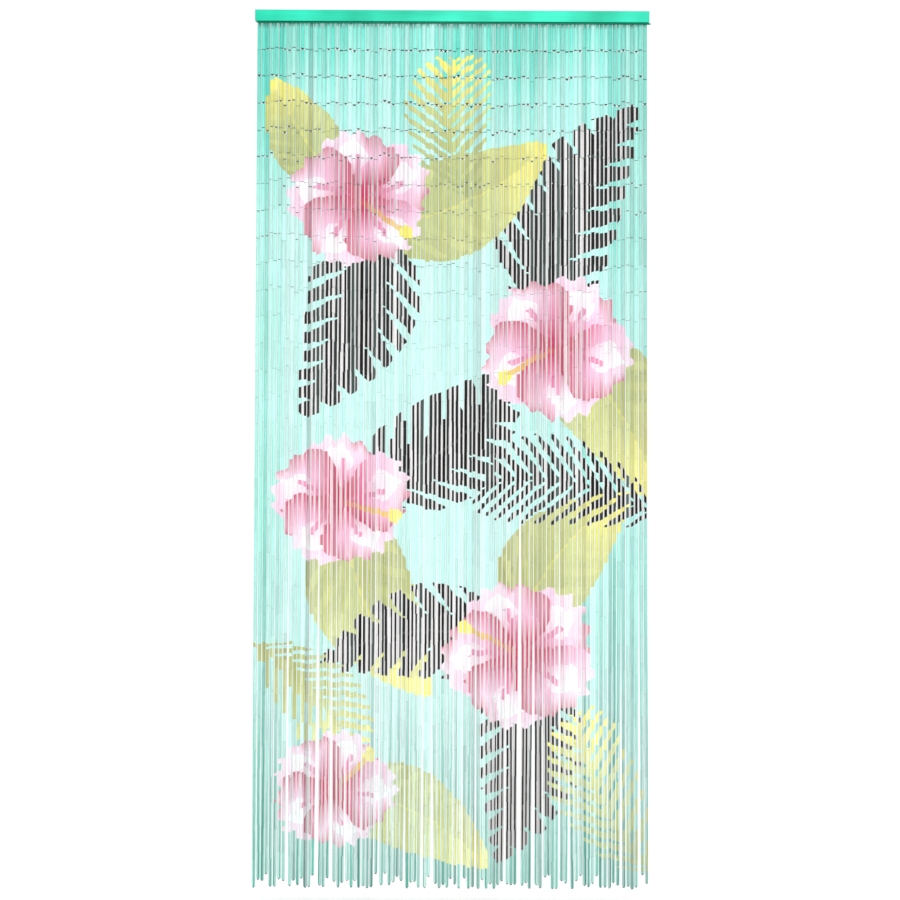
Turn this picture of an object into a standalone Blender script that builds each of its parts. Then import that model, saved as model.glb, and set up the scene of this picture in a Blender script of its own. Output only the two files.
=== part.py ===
"""Bead curtain of painted bamboo tubes, hung from a wooden header batten.

The width runs along X, the front faces -Y and +Z is up. The origin is the middle of the batten's
flat back face, which is screwed over a doorway. All lengths are in metres.
"""

import math
import random
from collections import namedtuple

import bmesh
import bpy

# Header batten
BATTEN_LENGTH = 0.900
BATTEN_HEIGHT = 0.026
BATTEN_DEPTH = 0.018
BATTEN_EDGE = 0.0012

# Row of wire eyes under the batten, as one narrow strip that the strands grow from
SEAT_GAP = 0.0003
STRIP_HEIGHT = 0.003
STRIP_DEPTH = 0.0070

# Strands of bamboo tubes. A strand's flat sides are a little narrower than its round tubes
STRAND_COUNT = 90
STRAND_PITCH = 0.0099
THINNEST_TUBE = 0.0077
THICKEST_TUBE = 0.0087
FLAT_SHARE = 0.90
SHOULDER = 0.004
TOUCH_GAP = 0.0003
CURTAIN_DROP = 2.003
HEM_RAGGED = 0.034
HEM_SKEW = 1.8
LEVELS = 6

# How the hanging strands drift towards the hem
SPREAD_LEFT = 0.005
SPREAD_RIGHT = 0.010
WANDER_SIDE = 0.0006
WANDER_DEPTH = 0.0022
PARTING_REACH = 7
UNEVEN_SEED = 11
SETTLE_PASSES = 200

# Where the strands stand apart at the hem: the number of strands to the left of the parting, its
# width there, and the share of the drop at which it begins
Parting = namedtuple("Parting", "after width start")
PARTINGS = (
    Parting(after=8, width=0.0070, start=0.50),
    Parting(after=15, width=0.0090, start=0.55),
    Parting(after=18, width=0.0090, start=0.55),
    Parting(after=21, width=0.0050, start=0.70),
    Parting(after=29, width=0.0050, start=0.70),
    Parting(after=35, width=0.0070, start=0.80),
    Parting(after=39, width=0.0070, start=0.75),
    Parting(after=41, width=0.0090, start=0.75),
    Parting(after=48, width=0.0050, start=0.70),
    Parting(after=51, width=0.0050, start=0.60),
    Parting(after=58, width=0.0070, start=0.65),
    Parting(after=61, width=0.0115, start=0.40),
    Parting(after=64, width=0.0115, start=0.60),
    Parting(after=66, width=0.0070, start=0.70),
    Parting(after=70, width=0.0070, start=0.45),
    Parting(after=72, width=0.0090, start=0.80),
    Parting(after=84, width=0.0070, start=0.60),
    Parting(after=88, width=0.0060, start=0.60),
)

BATTEN_TOP = BATTEN_HEIGHT / 2
STRIP_TOP = -BATTEN_HEIGHT / 2 - SEAT_GAP
STRIP_BOTTOM = STRIP_TOP - STRIP_HEIGHT
HEM = BATTEN_TOP - CURTAIN_DROP
STRAND_DEPTH = -BATTEN_DEPTH / 2
USUAL_GAP = STRAND_PITCH - (THINNEST_TUBE + THICKEST_TUBE) / 2

TURQUOISE_PAINT = (0.055, 0.72, 0.50, 1.0)
MINT_PAINT = (0.46, 0.87, 0.76, 1.0)


def clear_scene():
    for thing in list(bpy.data.objects):
        bpy.data.objects.remove(thing)


def plain_material(name, colour, roughness):
    material = bpy.data.materials.new(name)
    material.use_nodes = True
    shader = material.node_tree.nodes["Principled BSDF"]
    shader.inputs["Base Color"].default_value = colour
    shader.inputs["Roughness"].default_value = roughness
    shader.inputs["Metallic"].default_value = 0.0
    return material


def add_object(name, mesh, material):
    thing = bpy.data.objects.new(name, mesh)
    mesh.materials.append(material)
    bpy.context.scene.collection.objects.link(thing)
    return thing


def eased(share):
    """0 to 1 with a soft start and end."""
    share = min(max(share, 0.0), 1.0)
    return share * share * (3.0 - 2.0 * share)


def uneven(turn, lowest, highest):
    """One seeded number for each strand."""
    draw = random.Random(UNEVEN_SEED + turn)
    return [draw.uniform(lowest, highest) for _ in range(STRAND_COUNT)]


def tube_diameters():
    return uneven(4, THINNEST_TUBE, THICKEST_TUBE)


def settled(places):
    """Strands that came too close push each other apart, as hanging tubes do."""
    diameters = tube_diameters()
    for _ in range(SETTLE_PASSES):
        for left in range(STRAND_COUNT - 1):
            closest = (diameters[left] + diameters[left + 1]) / 2 + TOUCH_GAP
            short = closest - (places[left + 1] - places[left])
            if short > 0.0:
                places[left] -= short / 2
                places[left + 1] += short / 2
    return places


def strand_places(share):
    """X of every strand at this share of the drop, 0 at the batten and 1 at the hem."""
    middle = (STRAND_COUNT - 1) / 2
    drift = uneven(1, -WANDER_SIDE, WANDER_SIDE)
    places = []
    for number in range(STRAND_COUNT):
        side = (number - middle) / middle
        spread = SPREAD_RIGHT if side > 0 else SPREAD_LEFT
        x = (number - middle) * STRAND_PITCH + share * (spread * side + drift[number])
        for parting in PARTINGS:
            away = number + 0.5 - parting.after
            near = max(0.0, 1.0 - abs(away) / PARTING_REACH)
            opened = eased((share - parting.start) / (1.0 - parting.start))
            x += math.copysign((parting.width - USUAL_GAP) / 2 * near * opened, away)
        places.append(x)
    return settled(places)


def strand_depths(share):
    """Y of every strand at this share of the drop."""
    return [STRAND_DEPTH + share * sway for sway in uneven(2, -WANDER_DEPTH, WANDER_DEPTH)]


def strand_ends():
    """Z of every strand's lowest point: a ragged hem, with most strands near the longest."""
    return [HEM + HEM_RAGGED * draw ** HEM_SKEW for draw in uneven(3, 0.0, 1.0)]


def header_batten():
    bpy.ops.mesh.primitive_cube_add(size=1.0, location=(0.0, -BATTEN_DEPTH / 2, 0.0))
    batten = bpy.context.object
    batten.name = "header_batten"
    batten.scale = (BATTEN_LENGTH, BATTEN_DEPTH, BATTEN_HEIGHT)
    bpy.ops.object.transform_apply(location=False, rotation=False, scale=True)
    edge = batten.modifiers.new("planed_edges", "BEVEL")
    edge.width = BATTEN_EDGE
    edge.segments = 2
    batten.data.materials.append(plain_material("turquoise_paint", TURQUOISE_PAINT, 0.45))
    return batten


def section(bm, x, y, z, width, depth):
    """The four corners of a strand's section, counted round from the front left."""
    corners = ((-width, -depth), (width, -depth), (width, depth), (-width, depth))
    return [bm.verts.new((x + side / 2, y + deep / 2, z)) for side, deep in corners]


def bridge(bm, upper, lower):
    for corner in range(4):
        after = (corner + 1) % 4
        bm.faces.new((upper[corner], upper[after], lower[after], lower[corner]))


def hanging_strip(bm):
    """The narrow backing. Returns each strand's root, the four corners on its underside."""
    roots = []
    last_top = None
    for x, diameter in zip(strand_places(0.0), tube_diameters()):
        width = diameter * FLAT_SHARE
        top = section(bm, x, STRAND_DEPTH, STRIP_TOP, width, STRIP_DEPTH)
        root = section(bm, x, STRAND_DEPTH, STRIP_BOTTOM, width, STRIP_DEPTH)
        bm.faces.new(top)
        bm.faces.new((top[0], top[1], root[1], root[0]))
        bm.faces.new((top[2], top[3], root[3], root[2]))
        if last_top:
            last_root = roots[-1]
            between = (
                (last_top[1], top[0], top[3], last_top[2]),
                (last_root[1], root[0], root[3], last_root[2]),
                (last_top[1], top[0], root[0], last_root[1]),
                (last_top[2], top[3], root[3], last_root[2]),
            )
            for corners in between:
                bm.faces.new(corners)
        else:
            bm.faces.new((top[0], top[3], root[3], root[0]))
        roots.append(root)
        last_top = top
    bm.faces.new((last_top[1], last_top[2], root[2], root[1]))
    return roots


def strand_curtain():
    bm = bmesh.new()
    lower = hanging_strip(bm)
    ends = strand_ends()
    sides = [diameter * FLAT_SHARE for diameter in tube_diameters()]
    shoulder_share = SHOULDER / CURTAIN_DROP
    for share in [shoulder_share] + [level / LEVELS for level in range(1, LEVELS + 1)]:
        places = strand_places(share)
        depths = strand_depths(share)
        for number, side in enumerate(sides):
            z = STRIP_BOTTOM + share * (ends[number] - STRIP_BOTTOM)
            ring = section(bm, places[number], depths[number], z, side, side)
            bridge(bm, lower[number], ring)
            lower[number] = ring
    for ring in lower:
        bm.faces.new(ring)
    bmesh.ops.recalc_face_normals(bm, faces=bm.faces)
    mesh = bpy.data.meshes.new("strand_curtain")
    bm.to_mesh(mesh)
    bm.free()
    return add_object("strand_curtain", mesh, plain_material("mint_paint", MINT_PAINT, 0.5))


def main():
    clear_scene()
    header_batten()
    strand_curtain()


main()
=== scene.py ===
"""A bead curtain of printed bamboo tubes on a painted batten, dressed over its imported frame."""

import math
import random
from collections import namedtuple

import bmesh
import bpy
import numpy as np
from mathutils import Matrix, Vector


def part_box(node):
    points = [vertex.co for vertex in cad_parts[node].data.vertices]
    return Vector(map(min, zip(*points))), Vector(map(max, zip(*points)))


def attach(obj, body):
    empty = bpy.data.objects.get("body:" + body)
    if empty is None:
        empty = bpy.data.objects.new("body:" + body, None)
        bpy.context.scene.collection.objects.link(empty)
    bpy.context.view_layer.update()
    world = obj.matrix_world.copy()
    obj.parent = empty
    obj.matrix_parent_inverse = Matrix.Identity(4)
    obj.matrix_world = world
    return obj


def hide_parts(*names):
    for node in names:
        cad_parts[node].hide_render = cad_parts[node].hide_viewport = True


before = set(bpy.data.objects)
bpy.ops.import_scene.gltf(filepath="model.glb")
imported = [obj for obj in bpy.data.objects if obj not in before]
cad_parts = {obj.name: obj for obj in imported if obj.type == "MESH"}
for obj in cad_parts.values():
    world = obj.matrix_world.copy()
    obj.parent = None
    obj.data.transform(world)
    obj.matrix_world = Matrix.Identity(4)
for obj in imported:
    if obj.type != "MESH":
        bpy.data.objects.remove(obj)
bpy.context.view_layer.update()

# Sizes that the solids have too, in metres
BATTEN_HEIGHT = 0.026
BATTEN_DEPTH = 0.018
SEAT_GAP = 0.0003
STRIP_HEIGHT = 0.003
STRIP_DEPTH = 0.0070
STRAND_COUNT = 90
STRAND_PITCH = 0.0099
THINNEST_TUBE = 0.0077
THICKEST_TUBE = 0.0087
SHOULDER = 0.004
TOUCH_GAP = 0.0003
CURTAIN_DROP = 2.003
HEM_RAGGED = 0.034
HEM_SKEW = 1.8
LEVELS = 6
SPREAD_LEFT = 0.005
SPREAD_RIGHT = 0.010
WANDER_SIDE = 0.0006
WANDER_DEPTH = 0.0022
PARTING_REACH = 7
UNEVEN_SEED = 11
DRIFT_DRAW = 1
DEPTH_DRAW = 2
LENGTH_DRAW = 3
THICKNESS_DRAW = 4
SETTLE_PASSES = 200

BATTEN_TOP = BATTEN_HEIGHT / 2
STRIP_TOP = -BATTEN_HEIGHT / 2 - SEAT_GAP
STRIP_BOTTOM = STRIP_TOP - STRIP_HEIGHT
HEM = BATTEN_TOP - CURTAIN_DROP
STRAND_DEPTH = -BATTEN_DEPTH / 2
USUAL_GAP = STRAND_PITCH - (THINNEST_TUBE + THICKEST_TUBE) / 2

# Where two neighbours part towards the hem: after which strand, how wide, and from how far down
Parting = namedtuple("Parting", "after width start")
PARTINGS = (
    Parting(after=8, width=0.0070, start=0.50),
    Parting(after=15, width=0.0090, start=0.55),
    Parting(after=18, width=0.0090, start=0.55),
    Parting(after=21, width=0.0050, start=0.70),
    Parting(after=29, width=0.0050, start=0.70),
    Parting(after=35, width=0.0070, start=0.80),
    Parting(after=39, width=0.0070, start=0.75),
    Parting(after=41, width=0.0090, start=0.75),
    Parting(after=48, width=0.0050, start=0.70),
    Parting(after=51, width=0.0050, start=0.60),
    Parting(after=58, width=0.0070, start=0.65),
    Parting(after=61, width=0.0115, start=0.40),
    Parting(after=64, width=0.0115, start=0.60),
    Parting(after=66, width=0.0070, start=0.70),
    Parting(after=70, width=0.0070, start=0.45),
    Parting(after=72, width=0.0090, start=0.80),
    Parting(after=84, width=0.0070, start=0.60),
    Parting(after=88, width=0.0060, start=0.60),
)

# Tubes and their wire, in metres
TUBES_DOWN = 32
RAIL_LENGTH = 0.899
TUBE_SIDES = 12
TUBE_LENGTH = 0.059
TUBE_THICKNESS = 0.0083
BORE = 0.0061
TOP_CLEARANCE = 0.0008
MOST_CUTS = 5
LENGTH_UNEVEN = 0.034
NARROW_GAP = 0.0005
WIDE_GAP = 0.0044
GAP_SKEW = 2.0
SLACK_SHARE = 2.8
LEAST_SLACK = 0.12
STRAND_TWIST = 24.0
TUBE_TWIST = 9.0
TWIST_EASED = 0.12
PRINT_SLIP = 0.0025
PRINT_STEP = 0.001
PRINT_SPARE = 0.02
SLANT_BESIDE = 0.0035
SLANT_SEARCH = 14
SLANT_SHARE = 0.45
GROUND_UNEVEN = 0.30
# How far down the strands' tops carry painted shade under the batten
BATTEN_SHADE_DROP = 0.011
INK_UNEVEN = 0.12
INK_WIDE = 0.8
INK_NARROW = 1.3
HEM_NARROWER = 0.6
TOP_THICKNESS = 0.0095
STOUT_DOWN_TO = 0.9
TOP_WANDER = 0.0003
SHORTEST_BAND = 0.003
WIRE_THICKNESS = 0.0019
EYE_WIDTH = 0.0057
EYE_REACH = 0.0014
EYE_DROP = 0.0022
HOOK_DROP = 0.0014
EYE_SIDES = 8
WIRE_SIDES = 4
RAIL_ROUNDING = 0.0006
STRANDS_TOGETHER = 10
LINKS_TOGETHER = 30

# Edges sharper than this many degrees stay crisp
TUBE_CREASE = 50
RAIL_CREASE = 35
WIRE_CREASE = 80

# What no two strands, or no two tubes, have alike: the draws and how far they reach
SPRAY_DRAW = 6
THIN_INK_DRAW = 7
LEAN_DRAW = 8
HEM_HUE_DRAW = 9
TUBES_SEED = 1000
SLIP_SEED = 5000
TONE_SEED = 7000
INK_SEED = 9000
THICKNESS_UNEVEN = 0.01
TAPER = 0.015
OVAL = 0.02
STRAND_TONE = 0.96
STRAND_TONE_UNEVEN = 0.10
TUBE_TONE_UNEVEN = 0.035
PALEST_TONE = 1.06
TUBE_INK_UNEVEN = 0.1

# The bake map: each tube has a cell, and in it the wall a wide part, the bore a strip beside it and
# the rims strips above and below it, all as shares of the cell
MAP_ROWS = 12
WALL_LEFT = 0.03
WALL_WIDE = 0.70
WALL_TOP = 0.90
WALL_TALL = 0.80
BORE_LEFT = 0.79
BORE_WIDE = 0.17
TOP_RIM_EDGE = 0.97
BOTTOM_RIM_EDGE = 0.03
RIM_TALL = 0.05
EYE_MARGIN = 0.1

# The camera, lights and floor, in metres, degrees and watts, and how bright the white room is
VIEW_WIDTH = 2.0555
SENSOR = 36.0
LENS = 73.5
VIEW_X = -0.0007
VIEW_Z = -0.9904
VIEW_FRONT = -0.013
VIEW_ROLL = -0.26
BACKDROP = 1.05
FLOOR_SIZE = 6.0
FLOOR_DROP = 0.02
ROOM_LIGHT = 0.55
BACK_LIGHT = 1.5
LIGHTS_AIM = (0.0, 0.0, -1.0)
KEY_PLACE = (0.3, -3.6, 0.2)
KEY_SIZE = 1.4
KEY_POWER = 63
FILL_PLACE = (-2.2, -3.4, -0.8)
FILL_SIZE = 2.0
FILL_POWER = 14


def linear(hex_colour):
    """An sRGB hex colour as three linear numbers."""
    shares = [int(hex_colour[start : start + 2], 16) / 255 for start in (1, 3, 5)]
    return np.array([s / 12.92 if s < 0.04045 else ((s + 0.055) / 1.055) ** 2.4 for s in shares])


def rgba(hex_colour):
    return (*linear(hex_colour), 1.0)


def add_node(tree, kind, settings=None, links=None):
    """Adds one node. A setting is one of its properties or inputs, and a link feeds an input."""
    node = tree.nodes.new(kind)
    for name, value in (settings or {}).items():
        if isinstance(name, str) and hasattr(node, name):
            setattr(node, name, value)
        else:
            node.inputs[name].default_value = value
    for name, source in (links or {}).items():
        tree.links.new(source, node.inputs[name])
    return node


# Camera, light and floor
def add_camera():
    data = bpy.data.cameras.new("photo_camera")
    data.sensor_width = SENSOR
    data.lens = LENS
    camera = bpy.data.objects.new("photo_camera", data)
    distance = VIEW_WIDTH * LENS / SENSOR
    camera.location = (VIEW_X, VIEW_FRONT - distance, VIEW_Z)
    camera.rotation_euler = (math.radians(90), math.radians(VIEW_ROLL), 0)
    bpy.context.scene.collection.objects.link(camera)
    bpy.context.scene.camera = camera


def add_softbox(name, place, size, power):
    """A square soft light that faces the middle of the curtain."""
    data = bpy.data.lights.new(name, "AREA")
    data.size = size
    data.energy = power
    light = bpy.data.objects.new(name, data)
    light.location = place
    direction = np.array(LIGHTS_AIM) - np.array(place)
    level = math.hypot(direction[0], direction[1])
    turn = math.atan2(direction[1], direction[0]) - math.pi / 2
    light.rotation_euler = (math.pi / 2 + math.atan2(direction[2], level), 0, turn)
    bpy.context.scene.collection.objects.link(light)


def add_room():
    """A white studio with two softboxes. The room is brighter behind the curtain than in front, and
    the backdrop, which only the camera sees, has a brightness of its own."""
    world = bpy.data.worlds.new("white_studio")
    world.use_nodes = True
    tree = world.node_tree
    backdrop = tree.nodes["Background"]
    backdrop.inputs["Color"].default_value = rgba("#FFFFFF")
    way = add_node(tree, "ShaderNodeTexCoord").outputs["Generated"]
    split = add_node(tree, "ShaderNodeSeparateXYZ", links={"Vector": way})
    from_behind = add_node(
        tree,
        "ShaderNodeMapRange",
        {"From Min": -0.6, "From Max": 0.4, "To Min": ROOM_LIGHT, "To Max": BACK_LIGHT},
        {"Value": split.outputs["Y"]},
    )
    seen = add_node(tree, "ShaderNodeLightPath").outputs["Is Camera Ray"]
    strength = add_node(
        tree,
        "ShaderNodeMapRange",
        {"To Max": BACKDROP},
        {"Value": seen, "To Min": from_behind.outputs[0]},
    )
    tree.links.new(strength.outputs[0], backdrop.inputs["Strength"])
    bpy.context.scene.world = world
    bpy.context.scene.view_settings.view_transform = "Standard"
    add_softbox("key_light", KEY_PLACE, KEY_SIZE, KEY_POWER)
    add_softbox("fill_light", FILL_PLACE, FILL_SIZE, FILL_POWER)


def add_floor():
    """A studio floor under matt pale paint, 20 mm below the longest strands."""
    material, _, shader = new_material("pale_floor_paint")
    shader.inputs["Base Color"].default_value = (0.95, 0.95, 0.95, 1.0)
    shader.inputs["Roughness"].default_value = 0.8
    shader.inputs["Specular IOR Level"].default_value = 0.0
    bpy.ops.mesh.primitive_plane_add(size=FLOOR_SIZE, location=(0, 0, HEM - FLOOR_DROP))
    floor = bpy.context.object
    floor.name = "studio_floor"
    floor.data.materials.append(material)


# Painted design: colours of the print
MINT = linear("#A8F1E9")
TURQUOISE = linear("#4EDAC6")
# The deep green of the painted shade under the batten
BATTEN_SHADE_GREEN = linear("#1C6E5A")
PALE_MINT = linear("#C8F6EE")
GREY_MINT = linear("#4C9088")
DEEP_MINT = linear("#3CB49E")
OLIVE = linear("#A8B060")
LIME = linear("#DEE48C")
YELLOW = linear("#FFF25A")
CHARCOAL = linear("#070909")
SLATE = linear("#3A4341")
ROSE = linear("#C82258")
PINK = linear("#FAA2D2")
SHELL = linear("#FFE2F2")
WHITE = linear("#FFFFFF")
GOLD = linear("#F6D24A")
RAW_BAMBOO = linear("#B8A67C")
# Near black: painted shade in the bores and on the tubes' downward-facing rims
BORE_SHADE_DARK = linear("#1E1D19")

# What all the motifs share: widths in metres, and slopes and depths as shares of a half width
HAIR = 1e-6
LEAF_RIB = 0.0035
FROND_RIB = 0.0045
PLAIN_LEAF_VEINS = 7
VEIN_SLANT = 0.75
BLADE_SLANT = 0.9
CUT_WIDTH = 0.011
CUT_DEPTH = 0.30
PETALS = 5
PETAL_HALF = 0.56
RUFFLE = 0.05
RUFFLES = 26
PISTIL_HALF = 0.006
PISTIL_TIP = 0.016

Leaf = namedtuple("Leaf", "x drop turn length half bend cuts kind")
Bloom = namedtuple("Bloom", "x drop radius turn squeeze pistil")

# Leaves, back to front: where each stalk begins, across and down from the strands' tops, the way
# it points in degrees, length, half width, bend to one side, cuts on each side, and colours
LEAVES = (
    Leaf(x=0.20, drop=0.68, turn=66, length=0.54, half=0.135, bend=0.10, cuts=8, kind="charcoal"),
    Leaf(x=-0.20, drop=0.46, turn=24, length=0.46, half=0.115, bend=-0.10, cuts=0, kind="olive"),
    Leaf(x=-0.20, drop=0.42, turn=-106, length=0.50, half=0.13, bend=0.12, cuts=8, kind="charcoal"),
    Leaf(x=-0.26, drop=0.36, turn=122, length=0.28, half=0.080, bend=0.05, cuts=0, kind="olive"),
    Leaf(x=0.20, drop=0.70, turn=-56, length=0.48, half=0.120, bend=0.10, cuts=0, kind="olive"),
    Leaf(x=-0.20, drop=1.06, turn=38, length=0.46, half=0.125, bend=-0.10, cuts=8, kind="charcoal"),
    Leaf(x=-0.24, drop=1.10, turn=-66, length=0.48, half=0.120, bend=-0.10, cuts=0, kind="olive"),
    Leaf(x=0.15, drop=1.40, turn=52, length=0.42, half=0.110, bend=0.10, cuts=0, kind="olive"),
    Leaf(x=0.16, drop=1.42, turn=186, length=0.46, half=0.110, bend=-0.12, cuts=7, kind="charcoal"),
    Leaf(x=0.16, drop=1.46, turn=-96, length=0.46, half=0.120, bend=0.10, cuts=8, kind="charcoal"),
    Leaf(x=-0.26, drop=1.74, turn=-28, length=0.40, half=0.095, bend=0.08, cuts=0, kind="olive"),
)

# Fronds: as the leaves, with the number of blades on each side in place of the cuts
FRONDS = (
    Leaf(x=0.04, drop=0.40, turn=96, length=0.32, half=0.100, bend=0.10, cuts=11, kind="olive"),
    Leaf(x=0.46, drop=1.12, turn=170, length=0.4, half=0.105, bend=-0.1, cuts=12, kind="charcoal"),
    Leaf(x=-0.44, drop=1.42, turn=-50, length=0.34, half=0.095, bend=0.10, cuts=12, kind="olive"),
    Leaf(x=0.46, drop=1.94, turn=116, length=0.40, half=0.100, bend=0.08, cuts=12, kind="olive"),
)

# Open flowers: centre, radius, the way one petal points, foreshortening and the pistil's direction
BLOOMS = (
    Bloom(x=-0.21, drop=0.40, radius=0.165, turn=15, squeeze=0.92, pistil=-40),
    Bloom(x=0.24, drop=0.74, radius=0.172, turn=50, squeeze=0.95, pistil=205),
    Bloom(x=-0.25, drop=1.09, radius=0.160, turn=80, squeeze=0.90, pistil=-20),
    Bloom(x=0.16, drop=1.44, radius=0.175, turn=30, squeeze=0.94, pistil=150),
    Bloom(x=-0.26, drop=1.75, radius=0.142, turn=60, squeeze=0.92, pistil=40),
)


def blend(first, second, share):
    share = np.clip(share, 0.0, 1.0)[..., None]
    return first * (1.0 - share) + second * share


def ramp(value, none_at, full_at):
    """Rises evenly from 0 where the value is the first number to 1 where it is the second."""
    return np.clip((value - none_at) / (full_at - none_at), 0.0, 1.0)


class Canvas:
    """The curtain laid flat for printing: one column for each strand, painted area over area."""

    def __init__(self, across, drops):
        self.x, self.drop = np.meshgrid(across, drops, indexing="ij")
        self.colour = np.zeros(self.x.shape + (3,))
        self.area = np.zeros(self.x.shape, int)
        self.used = 0

    def fill(self, inside, colour):
        """Each fill is an area of its own, with a crisp edge."""
        self.used += 1
        self.area[inside] = self.used
        self.colour[inside] = np.broadcast_to(colour, self.colour.shape)[inside]

    def turned(self, x, drop, degrees):
        """Places along and across a line that starts at a point and runs at this angle."""
        angle = math.radians(degrees)
        right, up = self.x - x, drop - self.drop
        along = right * math.cos(angle) + up * math.sin(angle)
        across = up * math.cos(angle) - right * math.sin(angle)
        return along, across


def paint_ground(canvas):
    """Sprayed mint, cloudy, deeper at the top and along both edges, palest in the middle and greyer
    at the hem. No two strands took the same amount. Their tops carry painted shade: they darken
    towards a deep green just under the batten."""
    taken = np.array(uneven(SPRAY_DRAW, -GROUND_UNEVEN, GROUND_UNEVEN))[:, None]
    hue = np.array(uneven(HEM_HUE_DRAW, 0.0, 1.0))[:, None]
    left = ramp(canvas.x, 0.45, -0.45)
    top = ramp(canvas.drop, 0.45, 0.0)
    low = ramp(canvas.drop, 1.2, 1.9)
    middle = ramp(canvas.drop, -0.02, 0.38) * ramp(canvas.drop, 2.1, 1.5)
    middle = middle * (1.0 - 0.6 * ((canvas.x + 0.08) / 0.45) ** 2)
    left_edge = ramp(canvas.x, -0.41, -0.44)
    both_edges = ramp(np.abs(canvas.x), 0.34, 0.43)
    winding = np.sin(11.0 * canvas.x + 2.0 * np.sin(6.0 * canvas.drop) + 2.6)
    cloud = winding * np.sin(7.0 * canvas.drop + 0.9)
    strength = (0.75 + 0.1 * left + 0.5 * left_edge) * top + 0.65 * both_edges
    strength = strength + 0.8 * taken - 0.35 * cloud
    colour = blend(MINT, TURQUOISE, strength)
    hem_colour = blend(GREY_MINT, DEEP_MINT, np.broadcast_to(hue, colour.shape[:2]))
    colour = blend(colour, hem_colour, 1.1 * low + taken * (low > 0))
    colour = blend(colour, PALE_MINT, 0.95 * middle - taken)
    canvas.fill(np.full(canvas.x.shape, True), colour)
    # Painted shade under the batten: the tops of the strands darken towards deep green
    shaded_drop = BATTEN_SHADE_DROP * (1.0 + taken)
    canvas.fill(canvas.drop < shaded_drop, blend(colour, BATTEN_SHADE_GREEN, 0.9 - 0.9 * canvas.drop / shaded_drop))


def leaf_places(canvas, leaf):
    along, across = canvas.turned(leaf.x, leaf.drop, leaf.turn)
    share = along / leaf.length
    across = across - leaf.bend * leaf.length * 4.0 * share * (1.0 - share)
    return along, across, share


def leaf_colour(leaf, share, across, half):
    """Charcoal, or olive that turns lime and yellow towards the tip and is deeper on one side."""
    if leaf.kind == "charcoal":
        return blend(CHARCOAL, SLATE, 0.2 * np.abs(across) / half)
    colour = blend(OLIVE, LIME, share * 1.1)
    colour = blend(colour, YELLOW, (share - 0.62) * 2.6)
    return blend(colour, OLIVE, 0.35 * (across > 0) * (share < 0.9))


def paint_leaf(canvas, leaf):
    """A long oval leaf. Cuts slant outwards between its side veins, as wind tears it."""
    along, across, share = leaf_places(canvas, leaf)
    inner = np.clip(share, 0.0, 1.0)
    half = leaf.half * np.sin(math.pi * inner**0.72) ** 0.75 + HAIR
    reach = np.abs(across) / half
    inside = (share > 0) & (share < 1) & (reach < 1)
    colour = leaf_colour(leaf, share, across, half)
    rib = np.abs(across) < LEAF_RIB * (1.2 - share)
    step = leaf.length / ((leaf.cuts or PLAIN_LEAF_VEINS) + 1)
    vein = (along - np.abs(across) * VEIN_SLANT) / step
    from_vein = np.abs(vein - np.round(vein))
    if leaf.cuts:
        cut = (from_vein * step < CUT_WIDTH * ramp(reach, CUT_DEPTH, 0.85)) & (reach > CUT_DEPTH)
        canvas.fill(inside & ~cut, colour)
        canvas.fill(inside & ~cut & rib, SLATE)
    else:
        canvas.fill(inside, colour)
        canvas.fill(inside & (from_vein < 0.2) & (reach < 0.92), blend(colour, LIME, 0.5 * reach))
        canvas.fill(inside & rib, blend(colour, YELLOW, np.full(share.shape, 0.3)))


def paint_frond(canvas, frond):
    """A palm frond: narrow blades slant forward from both sides of a rib."""
    along, across, share = leaf_places(canvas, frond)
    start = along - np.abs(across) * BLADE_SLANT
    from_base = np.clip(start / frond.length, 0.0, 1.0)
    blade_reach = frond.half * np.sin(math.pi * (0.12 + 0.88 * from_base)) ** 0.6 + HAIR
    step = frond.length / frond.cuts
    reach = np.abs(across) / blade_reach
    thick = 0.36 * step * np.clip(1.15 - reach, 0.0, 1.0) ** 0.5
    blade = np.abs(start / step - np.round(start / step)) * step < thick
    blade &= (reach < 1) & (start > 0) & (start < frond.length)
    rib = (np.abs(across) < FROND_RIB) & (share > -0.05) & (share < 1)
    canvas.fill(blade | rib, leaf_colour(frond, share, across, blade_reach))


def paint_bloom(canvas, bloom):
    """Five ruffled petals that overlap round a deep rose throat, and a long pistil."""
    for petal in range(PETALS):
        degrees = bloom.turn + 360 // PETALS * petal
        along, across = canvas.turned(bloom.x, bloom.drop, degrees)
        across = across - 0.12 * bloom.radius * (along / bloom.radius) ** 2
        flat = 1.0 - (1.0 - bloom.squeeze) * abs(math.sin(math.radians(degrees)))
        share = along / (bloom.radius * flat)
        ruffle = 1.0 + RUFFLE * np.cos(across / bloom.radius * RUFFLES + petal)
        inner = np.clip(share / ruffle, 0.0, 1.0)
        half = PETAL_HALF * bloom.radius * np.sin(math.pi * inner**1.35) ** 0.62 + HAIR
        reach = across / half
        inside = (share > 0) & (share < ruffle) & (np.abs(reach) < 1)
        colour = blend(ROSE, PINK, share * 2.2 - 0.38)
        colour = blend(colour, SHELL, share * 1.7 - 0.55)
        colour = blend(colour, ROSE, (np.abs(reach) - 0.50) * 1.6 * (reach < 0))
        canvas.fill(inside, colour)
        lens = np.sin(math.pi * np.clip((share - 0.36) / 0.56, 0.0, 1.0))
        bright = inside & (np.abs(reach - 0.16) < 0.40 * lens)
        canvas.fill(bright, blend(colour, WHITE, share * 1.9 - 0.62))
        fold = inside & (np.abs(reach) < 0.07) & (share < 0.66)
        canvas.fill(fold, blend(ROSE, PINK, share * 1.1))
    along, across = canvas.turned(bloom.x, bloom.drop, bloom.pistil)
    share = along / bloom.radius
    across = across - 0.10 * bloom.radius * share**2
    column = (share > 0) & (share < 0.85) & (np.abs(across) < PISTIL_HALF)
    canvas.fill(column, blend(ROSE, GOLD, share * 1.3))
    canvas.fill(np.hypot(along - 0.8 * bloom.radius, across) < PISTIL_TIP, YELLOW)


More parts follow.
